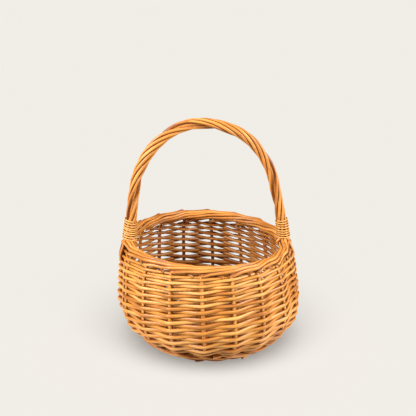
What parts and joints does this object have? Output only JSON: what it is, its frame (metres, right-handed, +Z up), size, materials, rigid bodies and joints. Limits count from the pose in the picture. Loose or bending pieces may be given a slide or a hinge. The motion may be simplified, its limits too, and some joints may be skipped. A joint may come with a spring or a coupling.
{
  "type": "egg collection basket",
  "caption": "Round bowed willow basket for collecting eggs: randed wall, rolled rod border and a fixed roped hoop handle bound at its feet.",
  "frame": {"origin": "bottom centre of the basket, on the plane it stands on", "axes": "+Z up; +X along the hoop handle, from one foot to the other; +Y across it"},
  "size_m": [0.2531, 0.2501, 0.3083],
  "materials": {
    "stake_willow": "satin",
    "weaver_willow": "satin",
    "wale_willow": "satin",
    "base_willow": "satin",
    "handle_core_willow": "satin",
    "handle_strand_willow": "satin",
    "binding_skein": "satin"
  },
  "bodies": {
    "root": {"stake_01": "stake_willow", "stake_02": "stake_willow", "stake_03": "stake_willow", "stake_04": "stake_willow", "stake_05": "stake_willow", "stake_06": "stake_willow", "stake_07": "stake_willow", "stake_08": "stake_willow", "stake_09": "stake_willow", "stake_10": "stake_willow", "stake_11": "stake_willow", "stake_12": "stake_willow", "stake_13": "stake_willow", "stake_14": "stake_willow", "stake_15": "stake_willow", "stake_16": "stake_willow", "stake_17": "stake_willow", "stake_18": "stake_willow", "weaver_01": "weaver_willow", "weaver_02": "weaver_willow", "weaver_03": "weaver_willow", "weaver_04": "weaver_willow", "weaver_05": "weaver_willow", "weaver_06": "weaver_willow", "weaver_07": "weaver_willow", "weaver_08": "weaver_willow", "weaver_09": "weaver_willow", "weaver_10": "weaver_willow", "weaver_11": "weaver_willow", "weaver_12": "weaver_willow", "weaver_13": "weaver_willow", "weaver_14": "weaver_willow", "weaver_15": "weaver_willow", "weaver_16": "weaver_willow", "weaver_17": "weaver_willow", "weaver_18": "weaver_willow", "wale_rod_1": "wale_willow", "wale_rod_2": "wale_willow", "wale_rod_3": "wale_willow", "base_stick_lower_1": "base_willow", "base_stick_lower_2": "base_willow", "base_stick_lower_3": "base_willow", "base_stick_lower_4": "base_willow", "base_stick_lower_5": "base_willow", "base_stick_upper_1": "base_willow", "base_stick_upper_2": "base_willow", "base_stick_upper_3": "base_willow", "base_stick_upper_4": "base_willow", "base_weaver_1": "base_willow", "base_weaver_2": "base_willow", "handle_core": "handle_core_willow", "handle_strand_1": "handle_strand_willow", "handle_strand_2": "handle_strand_willow", "handle_strand_3": "handle_strand_willow", "handle_strand_4": "handle_strand_willow", "handle_strand_5": "handle_strand_willow", "handle_strand_6": "handle_strand_willow", "handle_strand_7": "handle_strand_willow", "handle_binding_left": "binding_skein", "handle_binding_right": "binding_skein"}
  },
  "joints": []
}
